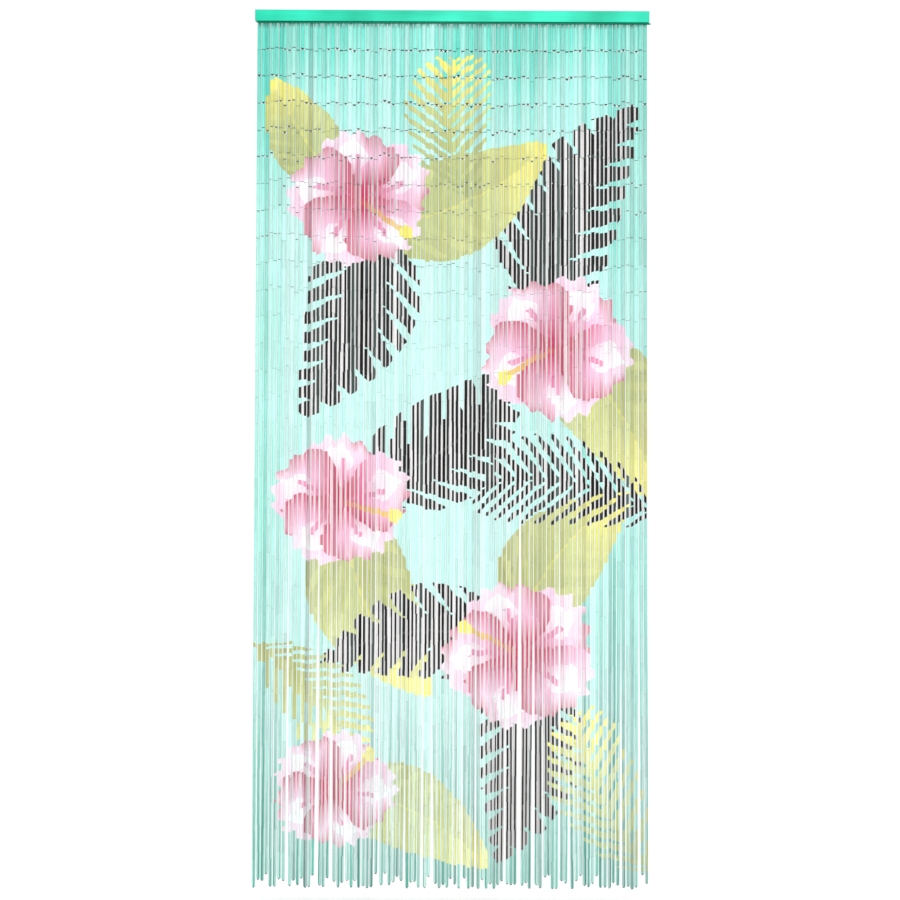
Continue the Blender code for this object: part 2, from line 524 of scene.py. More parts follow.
def painted_design(beside=0.0):
    """The whole print, sampled every millimetre down each strand, or down lines beside them."""
    across = (np.arange(STRAND_COUNT) - (STRAND_COUNT - 1) / 2) * STRAND_PITCH + beside
    drops = np.arange(0.0, CURTAIN_DROP + PRINT_SPARE, PRINT_STEP)
    canvas = Canvas(across, drops)
    paint_ground(canvas)
    for leaf in LEAVES:
        paint_leaf(canvas, leaf)
    for frond in FRONDS:
        paint_frond(canvas, frond)
    for bloom in BLOOMS:
        paint_bloom(canvas, bloom)
    thin = INK_UNEVEN * np.array(uneven(THIN_INK_DRAW, 0.0, 1.0))[:, None] ** 4
    canvas.colour = blend(canvas.colour, PALE_MINT, np.broadcast_to(thin, canvas.x.shape))
    return canvas


Band = namedtuple("Band", "start end top_colour bottom_colour")


def bands_down(areas, colours):
    """The colour areas down one tube, in samples, with the shortest ones joined to a neighbour."""
    edges = [0] + [int(i) + 1 for i in np.flatnonzero(np.diff(areas))] + [len(areas)]
    shortest = SHORTEST_BAND / PRINT_STEP
    while len(edges) > 2:
        lengths = np.diff(edges)
        short = int(np.argmin(lengths))
        if lengths[short] >= shortest and len(edges) - 2 <= MOST_CUTS:
            break
        at_bottom = short == len(lengths) - 1
        joined_above = at_bottom or (short > 0 and lengths[short - 1] > lengths[short + 1])
        edges.pop(short if joined_above else short + 1)
    bands = []
    for start, end in zip(edges, edges[1:]):
        counts = np.bincount(areas[start:end])
        own = np.flatnonzero(areas[start:end] == np.argmax(counts)) + start
        bands.append(Band(start, end, colours[own[0]], colours[own[-1]]))
    return bands


def edge_slant(strand, edge, prints):
    """How far the print's edge falls for each metre to the right, found from where the same two
    areas meet on the lines left and right of the strand's own."""
    left, canvas, right = prints
    above, below = canvas.area[strand, edge - 1], canvas.area[strand, edge]
    falls = []
    for way, side in ((-1, left), (1, right)):
        first = max(edge - SLANT_SEARCH, 1)
        areas = side.area[strand, first - 1 : edge + SLANT_SEARCH + 1]
        meets = np.flatnonzero((areas[:-1] == above) & (areas[1:] == below)) + first
        if len(meets):
            nearest = meets[np.argmin(np.abs(meets - edge))]
            falls.append(way * (nearest - edge) * PRINT_STEP / SLANT_BESIDE)
    return sum(falls) / len(falls) if falls else 0.0


# Where the strands hang, by the same rules as the solids
def eased(share):
    share = min(max(share, 0.0), 1.0)
    return share * share * (3.0 - 2.0 * share)


def uneven(which, lowest, highest):
    """One random measure for each strand. Each kind of measure has its own draw."""
    draw = random.Random(UNEVEN_SEED + which)
    return [draw.uniform(lowest, highest) for _ in range(STRAND_COUNT)]


def tube_diameters():
    return uneven(THICKNESS_DRAW, THINNEST_TUBE, THICKEST_TUBE)


def settled(places):
    """Pushes strands that would overlap apart, a little at a time."""
    diameters = tube_diameters()
    for _ in range(SETTLE_PASSES):
        for left in range(STRAND_COUNT - 1):
            closest = (diameters[left] + diameters[left + 1]) / 2 + TOUCH_GAP
            short = closest - (places[left + 1] - places[left])
            if short > 0.0:
                places[left] -= short / 2
                places[left + 1] += short / 2
    return places


def strand_places(share):
    """Where the strands hang from side to side, this share of the way down."""
    middle = (STRAND_COUNT - 1) / 2
    drift = uneven(DRIFT_DRAW, -WANDER_SIDE, WANDER_SIDE)
    places = []
    for number in range(STRAND_COUNT):
        side = (number - middle) / middle
        spread = SPREAD_RIGHT if side > 0 else SPREAD_LEFT
        x = (number - middle) * STRAND_PITCH + share * (spread * side + drift[number])
        for parting in PARTINGS:
            away = number + 0.5 - parting.after
            near = max(0.0, 1.0 - abs(away) / PARTING_REACH)
            opened = eased((share - parting.start) / (1.0 - parting.start))
            x += math.copysign((parting.width - USUAL_GAP) / 2 * near * opened, away)
        places.append(x)
    return settled(places)


def strand_depths(share):
    sways = uneven(DEPTH_DRAW, -WANDER_DEPTH, WANDER_DEPTH)
    return [STRAND_DEPTH + share * sway for sway in sways]


def strand_ends():
    return [HEM + HEM_RAGGED * draw**HEM_SKEW for draw in uneven(LENGTH_DRAW, 0.0, 1.0)]


LEVEL_SHARES = [0.0, SHOULDER / CURTAIN_DROP] + [level / LEVELS for level in range(1, LEVELS + 1)]
LEVEL_PLACES = np.array([strand_places(share) for share in LEVEL_SHARES])
LEVEL_DEPTHS = np.array([strand_depths(share) for share in LEVEL_SHARES])
STRAND_ENDS = strand_ends()
DIAMETERS = tube_diameters()
TOP_LEAN = uneven(LEAN_DRAW, -TOP_WANDER, TOP_WANDER)

Tube = namedtuple("Tube", "strand top bottom turn")
Link = namedtuple("Link", "place turn")

# One copy of a tube or of a wire eye, ready to be joined with others
Copy = namedtuple("Copy", "points faces colours finish_map bake_map", defaults=[None] * 3)


def strand_point(number, height):
    """The strand's own centre at this height, with the tops a hair out of line."""
    share = (STRIP_BOTTOM - height) / (STRIP_BOTTOM - STRAND_ENDS[number])
    x = np.interp(share, LEVEL_SHARES, LEVEL_PLACES[:, number])
    x += TOP_LEAN[number] * max(0.0, 1.0 - 2.0 * share)
    y = np.interp(share, LEVEL_SHARES, LEVEL_DEPTHS[:, number])
    return np.array([x, y, height])


def strung(number):
    """The tubes of one strand and the wire links between them, from the batten down."""
    draw = random.Random(TUBES_SEED + number)
    lengths = [draw.gauss(1.0, LENGTH_UNEVEN) for _ in range(TUBES_DOWN)]
    per_length = (STRIP_BOTTOM - STRAND_ENDS[number]) / sum(lengths)
    turn = draw.gauss(0.0, STRAND_TWIST)
    height = STRIP_BOTTOM
    gap_above = 2 * TOP_CLEARANCE
    links = [Link(strand_point(number, -BATTEN_HEIGHT / 2 - EYE_DROP), turn)]
    tubes = []
    for place_down, length in enumerate(lengths):
        top = height - gap_above / 2
        height -= length * per_length
        slack = max(LEAST_SLACK, 1.0 - SLACK_SHARE * place_down / TUBES_DOWN)
        gap_above = slack * (NARROW_GAP + (WIDE_GAP - NARROW_GAP) * draw.random() ** GAP_SKEW)
        if place_down == TUBES_DOWN - 1:
            gap_above = 0.0
        bottom = height + gap_above / 2
        turn += draw.gauss(0.0, TUBE_TWIST) - TWIST_EASED * turn
        tubes.append(Tube(number, strand_point(number, top), strand_point(number, bottom), turn))
        links.append(Link(strand_point(number, height), turn))
    return tubes, links


# Modelling one tube and one wire eye
def deselect_all():
    if bpy.context.mode != "OBJECT":
        bpy.ops.object.mode_set(mode="OBJECT")
    bpy.ops.object.select_all(action="DESELECT")


def select_faces(wanted):
    """Selects the faces of the shape in edit mode whose normal and centre pass this test."""
    shape = bmesh.from_edit_mesh(bpy.context.object.data)
    for face in shape.faces:
        face.select_set(False)
    for face in shape.faces:
        if wanted(face.normal, face.calc_center_median()):
            face.select_set(True)
    shape.select_flush_mode()
    bmesh.update_edit_mesh(bpy.context.object.data)


def is_end(normal, centre):
    return abs(normal.z) > 0.5


def is_outer_wall(normal, centre):
    outward = normal.x * centre.x + normal.y * centre.y
    return abs(normal.z) < 0.5 and outward > 0


def modelled_tube(cuts):
    """A length of bamboo cane, sawn off square and bored through, hanging from the origin. Rings
    are cut round its outer wall where the print may change colour."""
    deselect_all()
    bpy.ops.mesh.primitive_cylinder_add(
        vertices=TUBE_SIDES,
        radius=TUBE_THICKNESS / 2,
        depth=TUBE_LENGTH,
        end_fill_type="NGON",
        location=(0, 0, -TUBE_LENGTH / 2),
    )
    bpy.ops.object.transform_apply(location=True)
    bpy.ops.object.mode_set(mode="EDIT")
    bpy.ops.mesh.select_mode(type="FACE")
    select_faces(is_end)
    wall = (TUBE_THICKNESS - BORE) / 2
    bpy.ops.mesh.inset(thickness=wall * math.cos(math.pi / TUBE_SIDES))
    bpy.ops.mesh.bridge_edge_loops()
    for cut in range(cuts):
        select_faces(is_outer_wall)
        height = -TUBE_LENGTH * (cut + 1) / (cuts + 1)
        bpy.ops.mesh.bisect(plane_co=(0, 0, height), plane_no=(0, 0, 1))
    bpy.ops.mesh.select_all(action="SELECT")
    bpy.ops.mesh.normals_make_consistent(inside=False)
    bpy.ops.object.mode_set(mode="OBJECT")
    return bpy.context.object


def modelled_eye():
    """A closed eye of bent wire, with the lowest point inside it at the origin. Its upper part is
    drawn up into the bore of its tube."""
    deselect_all()
    bpy.ops.mesh.primitive_torus_add(
        major_segments=EYE_SIDES,
        minor_segments=WIRE_SIDES,
        major_radius=(EYE_WIDTH - WIRE_THICKNESS) / 2,
        minor_radius=WIRE_THICKNESS / 2,
        rotation=(math.pi / 2, 0, 0),
        generate_uvs=True,
    )
    bpy.ops.object.transform_apply(location=True, rotation=True)
    bpy.ops.object.mode_set(mode="EDIT")
    bpy.ops.mesh.select_mode(type="VERT")
    shape = bmesh.from_edit_mesh(bpy.context.object.data)
    for vertex in shape.verts:
        vertex.select_set(vertex.co.z > -WIRE_THICKNESS / 4)
    shape.select_flush_mode()
    bmesh.update_edit_mesh(bpy.context.object.data)
    bpy.ops.transform.translate(value=(0, 0, EYE_REACH))
    bpy.ops.mesh.select_all(action="SELECT")
    inner_radius = EYE_WIDTH / 2 - WIRE_THICKNESS
    bpy.ops.transform.translate(value=(0, 0, inner_radius))
    bpy.ops.object.mode_set(mode="OBJECT")
    return bpy.context.object


TubeShape = namedtuple("TubeShape", "turns radial level faces kind band corner_turns corner_levels")
WALL = 0
TOP_RIM = 1
BOTTOM_RIM = 2
BORE_WALL = 3


def measured_tube(cuts):
    """The modelled tube as numbers that copies are made from: for each point, how far round and
    out it lies and its ring from the top, and for each face, what it belongs to."""
    piece = modelled_tube(cuts)
    mesh = piece.data
    points = np.array([vertex.co for vertex in mesh.vertices])
    faces = np.array([face.vertices for face in mesh.polygons])
    centres = np.array([face.center for face in mesh.polygons])
    normals = np.array([face.normal for face in mesh.polygons])
    turns = np.arctan2(points[:, 0], -points[:, 1]) / (2 * math.pi)
    radial = np.hypot(points[:, 0], points[:, 1]) / (TUBE_THICKNESS / 2)
    level = np.round(-points[:, 2] / TUBE_LENGTH * (cuts + 1)).astype(int)
    outward = (normals[:, :2] * centres[:, :2]).sum(axis=1)
    kind = np.where(outward > 0, WALL, BORE_WALL)
    kind = np.where(normals[:, 2] > 0.5, TOP_RIM, kind)
    kind = np.where(normals[:, 2] < -0.5, BOTTOM_RIM, kind)
    middle_turn = np.arctan2(centres[:, 0], -centres[:, 1]) / (2 * math.pi)
    away = turns[faces] - middle_turn[:, None]
    corner_turns = middle_turn[:, None] + away - np.round(away)
    corner_levels = level[faces]
    band = corner_levels.min(axis=1)
    bpy.data.objects.remove(piece)
    bpy.data.meshes.remove(mesh)
    return TubeShape(turns, radial, level, faces, kind, band, corner_turns, corner_levels)


def map_corners(shape, down):
    """Where each corner of a tube lies in its own cell of the bake map, from 0 to 1 each way."""
    around = shape.corner_turns + 0.5 + 0.5 / TUBE_SIDES
    around = around - np.floor(around.min(axis=1) + HAIR)[:, None]
    outer = (shape.radial[shape.faces] - BORE / TUBE_THICKNESS) / (1 - BORE / TUBE_THICKNESS)
    u = WALL_LEFT + WALL_WIDE * around
    v = WALL_TOP - WALL_TALL * down
    u = np.where((shape.kind == BORE_WALL)[:, None], BORE_LEFT + BORE_WIDE * around, u)
    v = np.where((shape.kind == TOP_RIM)[:, None], TOP_RIM_EDGE - RIM_TALL * outer, v)
    v = np.where((shape.kind == BOTTOM_RIM)[:, None], BOTTOM_RIM_EDGE + RIM_TALL * outer, v)
    return np.stack([u, v], axis=-1)


def turned_about(points, degrees):
    """Points turned about the upright axis."""
    angle = math.radians(degrees)
    x = points[:, 0] * math.cos(angle) - points[:, 1] * math.sin(angle)
    y = points[:, 0] * math.sin(angle) + points[:, 1] * math.cos(angle)
    return np.stack([x, y, points[:, 2]], axis=-1)


def printed_bands(tube, canvas):
    """The first sample of the print on this tube, how many samples it has, and their bands."""
    slip = random.Random(SLIP_SEED + tube.strand).uniform(-PRINT_SLIP, PRINT_SLIP)
    first = max(int(round((STRIP_BOTTOM - tube.top[2] + slip) / PRINT_STEP)), 0)
    last = int(round((STRIP_BOTTOM - tube.bottom[2] + slip) / PRINT_STEP))
    areas = canvas.area[tube.strand, first:last]
    return first, last - first, bands_down(areas, canvas.colour[tube.strand, first:last])


def ring_slants(tube, first, bands, heights, thickness, prints):
    """How steeply each ring of cuts follows the print's edge, as far as there is room for it."""
    samples = bands[-1].end
    slants = np.zeros(len(heights))
    for cut in range(1, len(bands)):
        fall = edge_slant(tube.strand, first + bands[cut].start, prints)
        room = SLANT_SHARE * min(heights[cut] - heights[cut - 1], heights[cut + 1] - heights[cut])
        most = room * samples * PRINT_STEP / (thickness / 2)
        slants[cut] = min(max(fall, -most), most)
    return slants


def corner_colours(tube, shape, bands, draw):
    """Each corner's print colour, with painted shade in the bore and on the bottom rims, and in its
    alpha how light the cane itself is.
    """
    colours = np.empty(shape.faces.shape + (4,))
    for number, band in enumerate(bands):
        walls = (shape.kind == WALL) & (shape.band == number)
        at_top = (shape.corner_levels[walls] == number)[..., None]
        colours[walls, :, :3] = np.where(at_top, band.top_colour, band.bottom_colour)
    colours[shape.kind == TOP_RIM, :, :3] = 0.1 * RAW_BAMBOO + 0.8 * bands[0].top_colour
    # Painted shade: the bottom rims and the bore are near black, while the top rims keep the paint
    colours[shape.kind == BOTTOM_RIM, :, :3] = BORE_SHADE_DARK + 0.05 * bands[-1].bottom_colour
    colours[shape.kind == BORE_WALL, :, :3] = BORE_SHADE_DARK
    strand_tone = random.Random(TONE_SEED + tube.strand).gauss(STRAND_TONE, STRAND_TONE_UNEVEN)
    colours[..., 3] = min(strand_tone * draw.gauss(1.0, TUBE_TONE_UNEVEN), PALEST_TONE)
    return colours


def finish_places(tube, shape, down, share, draw):
    """How far round from the printed front or back each corner lies, in turns that are stretched
    where the ink lies narrow, and how far down its tube."""
    is_wall = (shape.kind == WALL)[:, None]
    narrow = random.Random(INK_SEED + tube.strand).uniform(INK_WIDE, INK_NARROW)
    narrow *= draw.uniform(1.0 - TUBE_INK_UNEVEN, 1.0 + TUBE_INK_UNEVEN)
    narrow *= 1.0 + HEM_NARROWER * eased((share - 0.55) / 0.4)
    turns = np.abs(shape.corner_turns)
    from_face = np.minimum(turns, np.abs(0.5 - turns))
    around = np.where(is_wall, np.minimum(from_face * narrow, 0.25), 0.0)
    along = np.where(is_wall, down[shape.faces], 0.5)
    return np.stack([around, along], axis=-1)


def copied_tube(tube, shapes, prints, cell):
    """One tube of the curtain, with each corner's colour and its places in both maps."""
    draw = random.Random(f"{tube.strand} {tube.top[2]:.6f}")
    first, samples, bands = printed_bands(tube, prints[1])
    shape = shapes[len(bands) - 1]
    heights = np.array([0.0] + [band.end / samples for band in bands])

    share = (STRIP_BOTTOM - tube.top[2]) / CURTAIN_DROP
    stout = max(0.0, 1.0 - share / STOUT_DOWN_TO)
    thickness = DIAMETERS[tube.strand] + (TOP_THICKNESS - DIAMETERS[tube.strand]) * stout
    thickness *= draw.uniform(1.0 - THICKNESS_UNEVEN, 1.0 + THICKNESS_UNEVEN)
    taper = draw.uniform(-TAPER, TAPER)
    oval = draw.uniform(0.0, OVAL)
    level_down = heights[shape.level]
    radius = thickness / 2 * shape.radial * (1 - abs(taper) / 2 + taper * (level_down - 0.5))
    angle = shape.turns * 2 * math.pi
    wide = radius * np.sin(angle) * (1 - oval)
    deep = -radius * np.cos(angle)
    points = turned_about(np.stack([wide, deep, 0 * radius], axis=-1), tube.turn)
    slants = ring_slants(tube, first, bands, heights, thickness, prints)
    down = level_down + slants[shape.level] * points[:, 0] / (samples * PRINT_STEP)
    points += tube.top + (tube.bottom - tube.top) * down[:, None]

    colours = corner_colours(tube, shape, bands, draw)
    finish_map = finish_places(tube, shape, down, share, draw)
    column, row = divmod(cell, MAP_ROWS)
    columns = math.ceil(STRANDS_TOGETHER * TUBES_DOWN / MAP_ROWS)
    bake_map = (map_corners(shape, down[shape.faces]) + [column, row]) / [columns, MAP_ROWS]
    return Copy(points, shape.faces, colours, finish_map, bake_map)


def joined_mesh(name, parts):
    """One mesh from the points and faces of many copies."""
    starts = np.cumsum([0] + [len(part.points) for part in parts[:-1]])
    points = np.concatenate([part.points for part in parts])
    faces = np.concatenate([part.faces + start for part, start in zip(parts, starts)])
    mesh = bpy.data.meshes.new(name)
    mesh.from_pydata(points.tolist(), [], faces.tolist())
    piece = bpy.data.objects.new(name, mesh)
    bpy.context.scene.collection.objects.link(piece)
    return piece


def add_map(piece, name, places):
    layer = piece.data.uv_layers.new(name=name)
    layer.data.foreach_set("uv", np.concatenate(places).reshape(-1))


def finish_edges(piece, degrees):
    """Soft shading that breaks at edges sharper than this."""
    deselect_all()
    piece.select_set(True)
    bpy.context.view_layer.objects.active = piece
    bpy.ops.object.shade_smooth_by_angle(angle=math.radians(degrees))


def build_tubes(strands, prints, material):
    shapes = [measured_tube(cuts) for cuts in range(MOST_CUTS + 1)]
    for group, start in enumerate(range(0, STRAND_COUNT, STRANDS_TOGETHER)):
        tubes = [tube for tubes, _ in strands[start : start + STRANDS_TOGETHER] for tube in tubes]
        parts = [copied_tube(tube, shapes, prints, cell) for cell, tube in enumerate(tubes)]
        piece = joined_mesh(f"bamboo_strands_{group + 1}", parts)
        add_map(piece, "OFBake", [part.bake_map for part in parts])
        add_map(piece, "around", [part.finish_map for part in parts])
        colours = np.concatenate([part.colours for part in parts])
        layer = piece.data.color_attributes.new("print_colour", "FLOAT_COLOR", "CORNER")
        layer.data.foreach_set("color", colours.reshape(-1))
        piece.data.materials.append(material)
        finish_edges(piece, TUBE_CREASE)
        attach(piece, "root")
        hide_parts("strand_curtain")


def build_rail(material):
    """The thin strip under the batten that the wire eyes are closed into, with rounded edges."""
    deselect_all()
    low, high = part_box("strand_curtain")
    middle = ((low[0] + high[0]) / 2, STRAND_DEPTH, (STRIP_TOP + STRIP_BOTTOM) / 2)
    bpy.ops.mesh.primitive_cube_add(size=1, location=middle)
    rail = bpy.context.object
    rail.scale = (RAIL_LENGTH, STRIP_DEPTH, STRIP_HEIGHT)
    bpy.ops.object.transform_apply(location=True, scale=True)
    rounded = rail.modifiers.new("rounded", "BEVEL")
    rounded.width = RAIL_ROUNDING
    rounded.segments = 2
    bpy.ops.object.modifier_apply(modifier="rounded")
    rail.name = "eye_rail"
    rail.data.materials.append(material)
    finish_edges(rail, RAIL_CREASE)
    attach(rail, "root")
    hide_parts("strand_curtain")


def build_links(strands, material):
    """Two eyes hang in each other at every joint, and one closes the wire at a strand's end."""
    model = modelled_eye()
    mesh = model.data
    upper = np.array([vertex.co for vertex in mesh.vertices])
    lower = np.stack([upper[:, 1], upper[:, 0], -upper[:, 2]], axis=-1)
    faces = np.array([face.vertices for face in mesh.polygons])
    flat_map = np.array([corner.uv for corner in mesh.uv_layers.active.data])
    flat_map = flat_map.reshape(faces.shape + (2,))
    flat_map = (flat_map - flat_map.min(axis=(0, 1))) / np.ptp(flat_map, axis=(0, 1))
    flat_map = EYE_MARGIN + (1 - 2 * EYE_MARGIN) * flat_map
    bpy.data.objects.remove(model)
    cells = math.ceil(math.sqrt(2 * LINKS_TOGETHER * (TUBES_DOWN + 1)))
    for group, start in enumerate(range(0, STRAND_COUNT, LINKS_TOGETHER)):
        parts = []
        for _, links in strands[start : start + LINKS_TOGETHER]:
            for link in links[:-1]:
                parts.append(Copy(turned_about(upper, link.turn) + link.place, faces))
                parts.append(Copy(turned_about(lower, link.turn) + link.place, faces))
            end = links[-1]
            hook = end.place - np.array([0, 0, HOOK_DROP])
            parts.append(Copy(turned_about(upper, end.turn) + hook, faces))
        piece = joined_mesh(f"wire_links_{group + 1}", parts)
        places = [(flat_map + divmod(cell, cells)) / cells for cell in range(len(parts))]
        add_map(piece, "OFBake", places)
        piece.data.materials.append(material)
        finish_edges(piece, WIRE_CREASE)
        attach(piece, "root")
        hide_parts("strand_curtain")


# Materials
def new_material(name):
    material = bpy.data.materials.new(name)
    material.use_nodes = True
    return material, material.node_tree, material.node_tree.nodes["Principled BSDF"]


def printed_bamboo():
    """Bamboo cane under a whitish ground coat, printed from the front and back. The ink thins out
    round the sides and the cane's fibres show as fine streaks. The sawn ends of the upper rows get
    a dark green rim in places, with a ragged edge: painted shade at the joints, strongest at the
    top."""
    material, tree, shader = new_material("printed_bamboo")
    places = add_node(tree, "ShaderNodeTexCoord").outputs["Object"]
    # Cane fibres are about 0.5 mm apart, drawn 1.2 mm apart so that they show, and run 40 mm
    stretched = add_node(tree, "ShaderNodeMapping", {"Scale": (1, 1, 0.03)}, {"Vector": places})
    fibre = add_node(
        tree,
        "ShaderNodeTexNoise",
        {"Scale": 830, "Detail": 3, "Roughness": 0.6},
        {"Vector": stretched.outputs[0]},
    )
    # Thin paint ran down the cane in washes about 4 mm wide and a third of a metre long
    run_down = add_node(tree, "ShaderNodeMapping", {"Scale": (1, 1, 0.012)}, {"Vector": places})
    washes = add_node(
        tree, "ShaderNodeTexNoise", {"Scale": 250, "Detail": 2}, {"Vector": run_down.outputs[0]}
    )
    richness = add_node(
        tree,
        "ShaderNodeMapRange",
        {"From Min": 0.35, "From Max": 0.65, "To Min": 0.85, "To Max": 1.0},
        {"Value": washes.outputs[0]},
    )
    # The painted shade at a sawn end has a ragged edge, with a step about every 1.4 mm
    ragged_noise = add_node(tree, "ShaderNodeTexNoise", {"Scale": 700, "Detail": 2}, {"Vector": places})
    around = add_node(tree, "ShaderNodeUVMap", {"uv_map": "around"})
    split = add_node(tree, "ShaderNodeSeparateXYZ", links={"Vector": around.outputs[0]})
    angle = add_node(
        tree, "ShaderNodeMath", {"operation": "MULTIPLY", 1: 2 * math.pi}, {0: split.outputs["X"]}
    )
    cosine = add_node(tree, "ShaderNodeMath", {"operation": "COSINE"}, {0: angle.outputs[0]})
    uneven_edge = add_node(
        tree,
        "ShaderNodeMath",
        {"operation": "MULTIPLY_ADD", 1: 0.22},
        {0: fibre.outputs[0], 2: cosine.outputs[0]},
    )
    # A mist of ink reaches round the sides, more so of the light inks. The full colour lies on the
    # part that faced the nozzle.
    print_colour = add_node(tree, "ShaderNodeVertexColor", {"layer_name": "print_colour"})
    lightness = add_node(tree, "ShaderNodeRGBToBW", links={"Color": print_colour.outputs["Color"]})
    light_ink = add_node(
        tree,
        "ShaderNodeMapRange",
        {"From Max": 0.6, "To Min": 0.15, "To Max": 0.88},
        {"Value": lightness.outputs[0]},
    )
    # At the hem the mist is about a third, of light and dark inks alike
    up = add_node(tree, "ShaderNodeSeparateXYZ", links={"Vector": places})
    mist = add_node(
        tree,
        "ShaderNodeMapRange",
        {"From Min": -1.8, "From Max": -1.3, "To Min": 0.34},
        {"Value": up.outputs["Z"], "To Max": light_ink.outputs[0]},
    )
    misted = add_node(
        tree,
        "ShaderNodeMapRange",
        {"interpolation_type": "SMOOTHSTEP", "From Min": -0.5, "From Max": 0.4},
        {"Value": uneven_edge.outputs[0], "To Max": mist.outputs[0]},
    )
    full = add_node(
        tree,
        "ShaderNodeMapRange",
        {"interpolation_type": "SMOOTHSTEP", "From Min": 0.66, "From Max": 0.92},
        {"Value": uneven_edge.outputs[0]},
    )
    inked = add_node(
        tree, "ShaderNodeMath", {"operation": "MAXIMUM"}, {0: misted.outputs[0], 1: full.outputs[0]}
    )
    # The ground coat is minty at the top, nearly white in the middle and tinted again at the hem
    height = add_node(
        tree, "ShaderNodeMapRange", {"From Min": -1.1, "From Max": -0.1}, {"Value": up.outputs["Z"]}
    )
    above_hem = add_node(
        tree, "ShaderNodeMapRange", {"From Min": -1.8, "From Max": -1.2}, {"Value": up.outputs["Z"]}
    )
    low_coat = add_node(
        tree,
        "ShaderNodeMix",
        {"data_type": "RGBA", 6: rgba("#DDF5F0"), 7: rgba("#F6FBFA")},
        {0: above_hem.outputs[0]},
    )
    ground_coat = add_node(
        tree,
        "ShaderNodeMix",
        {"data_type": "RGBA", 7: rgba("#B4E8DF")},
        {0: height.outputs[0], 6: low_coat.outputs[2]},
    )
    # The mint was left out where charcoal and deep rose went, so white shows beside them
    beside_dark = add_node(
        tree,
        "ShaderNodeMapRange",
        {"From Min": 0.2, "From Max": 0.1},
        {"Value": lightness.outputs[0]},
    )
    bare_coat = add_node(
        tree,
        "ShaderNodeMix",
        {"data_type": "RGBA", 7: rgba("#FFFCFC")},
        {0: beside_dark.outputs[0], 6: ground_coat.outputs[2]},
    )
    coated = add_node(
        tree,
        "ShaderNodeMix",
        {"data_type": "RGBA"},
        {0: inked.outputs[0], 6: bare_coat.outputs[2], 7: print_colour.outputs["Color"]},
    )
    from_middle = add_node(
        tree, "ShaderNodeMath", {"operation": "SUBTRACT", 1: 0.5}, {0: split.outputs["Y"]}
    )
    to_end = add_node(
        tree, "ShaderNodeMath", {"operation": "ABSOLUTE"}, {0: from_middle.outputs[0]}
    )
    ragged_end = add_node(
        tree,
        "ShaderNodeMath",
        {"operation": "MULTIPLY_ADD", 1: 0.03},
        {0: ragged_noise.outputs[0], 2: to_end.outputs[0]},
    )
    at_end = add_node(
        tree,
        "ShaderNodeMapRange",
        {"From Min": 0.495, "From Max": 0.508, "To Max": 0.6},
        {"Value": ragged_end.outputs[0]},
    )
    # Some ends get more painted shade than others, and some none, in patches of about 8 mm
    patches = add_node(tree, "ShaderNodeTexNoise", {"Scale": 120, "Detail": 1}, {"Vector": places})
    shade_patches = add_node(
        tree,
        "ShaderNodeMapRange",
        {"From Min": 0.42, "From Max": 0.6, "To Max": 1.5},
        {"Value": patches.outputs[0]},
    )
    rim = add_node(
        tree,
        "ShaderNodeMath",
        {"operation": "MULTIPLY"},
        {0: at_end.outputs[0], 1: shade_patches.outputs[0]},
    )
    upper_end_shade = add_node(
        tree,
        "ShaderNodeMath",
        {"operation": "MULTIPLY"},
        {0: rim.outputs[0], 1: height.outputs[0]},
    )
    # Painted shade: the ends of the upper rows darken to a deep green where the joints fall in
    # shade
    end_shaded = add_node(
        tree,
        "ShaderNodeMix",
        {"data_type": "RGBA", 7: rgba("#2F6B5C")},
        {0: upper_end_shade.outputs[0], 6: coated.outputs[2]},
    )
    streaks = add_node(
        tree,
        "ShaderNodeMapRange",
        {"From Min": 0.3, "From Max": 0.7, "To Min": 0.82, "To Max": 1.08},
        {"Value": fibre.outputs[0]},
    )
    tone = add_node(
        tree,
        "ShaderNodeMath",
        {"operation": "MULTIPLY"},
        {0: streaks.outputs[0], 1: print_colour.outputs["Alpha"]},
    )
    toned = add_node(
        tree,
        "ShaderNodeHueSaturation",
        links={
            "Color": end_shaded.outputs[2],
            "Value": tone.outputs[0],
            "Saturation": richness.outputs[0],
        },
    )
    tree.links.new(toned.outputs[0], shader.inputs["Base Color"])
    sheen = add_node(
        tree,
        "ShaderNodeMapRange",
        {"From Min": 0.3, "From Max": 0.7, "To Min": 0.36, "To Max": 0.52},
        {"Value": fibre.outputs[0]},
    )
    tree.links.new(sheen.outputs[0], shader.inputs["Roughness"])
    relief = add_node(
        tree,
        "ShaderNodeBump",
        {"Strength": 0.25, "Distance": 0.0003},
        {"Height": fibre.outputs[0]},
    )
    tree.links.new(relief.outputs[0], shader.inputs["Normal"])
    shader.inputs["Specular IOR Level"].default_value = 0.12
    return material


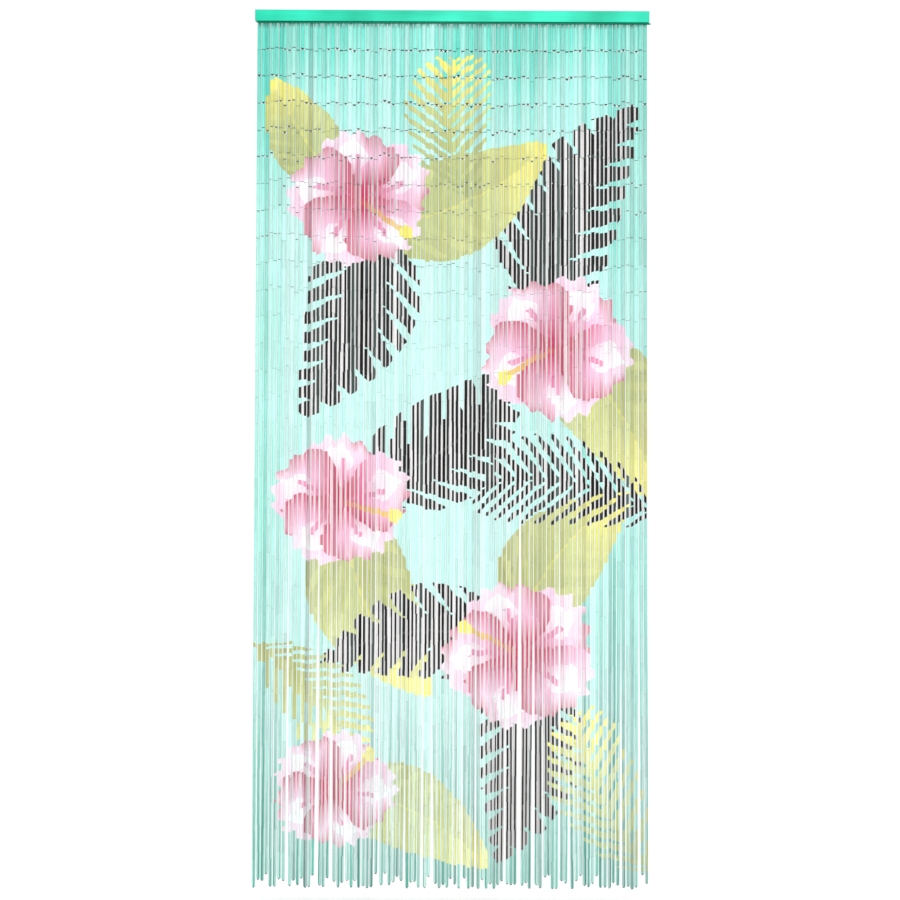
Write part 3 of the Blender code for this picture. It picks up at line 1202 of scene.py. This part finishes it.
def painted_pine():
    """A planed pine batten under glossy turquoise paint, which lets the grain show as faint long
    lines. The sawn underside is painted a dark green as painted shade."""
    material, tree, shader = new_material("painted_pine")
    places = add_node(tree, "ShaderNodeTexCoord").outputs["Object"]
    # Growth rings lie about 3 mm apart and run along the batten
    stretched = add_node(tree, "ShaderNodeMapping", {"Scale": (0.02, 1, 1)}, {"Vector": places})
    grain = add_node(
        tree,
        "ShaderNodeTexNoise",
        {"Scale": 330, "Detail": 4, "Roughness": 0.6},
        {"Vector": stretched.outputs[0]},
    )
    # The paint was brushed on in strokes of about 140 mm
    strokes = add_node(tree, "ShaderNodeTexNoise", {"Scale": 7, "Detail": 2}, {"Vector": places})
    coats = add_node(
        tree,
        "ShaderNodeMapRange",
        {"From Min": 0.35, "From Max": 0.65},
        {"Value": strokes.outputs[0]},
    )
    paint = add_node(
        tree,
        "ShaderNodeMix",
        {"data_type": "RGBA", 6: rgba("#14BE98"), 7: rgba("#30E4BE")},
        {0: coats.outputs[0]},
    )
    lines = add_node(
        tree,
        "ShaderNodeMapRange",
        {"From Min": 0.35, "From Max": 0.65, "To Min": 0.9, "To Max": 1.05},
        {"Value": grain.outputs[0]},
    )
    lined = add_node(
        tree,
        "ShaderNodeHueSaturation",
        links={"Color": paint.outputs[2], "Value": lines.outputs[0]},
    )
    split = add_node(tree, "ShaderNodeSeparateXYZ", links={"Vector": places})
    # Painted shade: from just above the lower edge down, the paint turns dark green
    underside = add_node(
        tree,
        "ShaderNodeMapRange",
        {"From Min": -0.0124, "From Max": -0.0129},
        {"Value": split.outputs["Z"]},
    )
    with_underside_shade = add_node(
        tree,
        "ShaderNodeMix",
        {"data_type": "RGBA", 7: rgba("#0E8062")},
        {0: underside.outputs[0], 6: lined.outputs[0]},
    )
    tree.links.new(with_underside_shade.outputs[2], shader.inputs["Base Color"])
    shader.inputs["Roughness"].default_value = 0.34
    shader.inputs["Specular IOR Level"].default_value = 0.15
    relief = add_node(
        tree,
        "ShaderNodeBump",
        {"Strength": 0.2, "Distance": 0.0003},
        {"Height": grain.outputs[0]},
    )
    tree.links.new(relief.outputs[0], shader.inputs["Normal"])
    return material


def galvanised_wire():
    """Drawn steel wire with a dull zinc coat, bent cold: soft grey glints and darker tool marks."""
    material, tree, shader = new_material("galvanised_wire")
    places = add_node(tree, "ShaderNodeTexCoord").outputs["Object"]
    # The marks of the pliers lie about 1.1 mm apart
    marks = add_node(tree, "ShaderNodeTexNoise", {"Scale": 900, "Detail": 2}, {"Vector": places})
    zinc = add_node(
        tree,
        "ShaderNodeMix",
        {"data_type": "RGBA", 6: rgba("#1C1E1F"), 7: rgba("#55595A")},
        {0: marks.outputs[0]},
    )
    tree.links.new(zinc.outputs[2], shader.inputs["Base Color"])
    shader.inputs["Metallic"].default_value = 1.0
    dull = add_node(
        tree,
        "ShaderNodeMapRange",
        {"To Min": 0.32, "To Max": 0.5},
        {"Value": marks.outputs[0]},
    )
    tree.links.new(dull.outputs[0], shader.inputs["Roughness"])
    return material


add_camera()
add_room()
add_floor()

batten_paint = painted_pine()
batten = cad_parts["header_batten"]
batten.data.materials.clear()
batten.data.materials.append(batten_paint)
# The rail lies wholly below the batten, so it takes the batten paint's painted shade all over
build_rail(batten_paint)

all_strands = [strung(number) for number in range(STRAND_COUNT)]
prints = [painted_design(beside) for beside in (-SLANT_BESIDE, 0.0, SLANT_BESIDE)]
build_tubes(all_strands, prints, printed_bamboo())
build_links(all_strands, galvanised_wire())
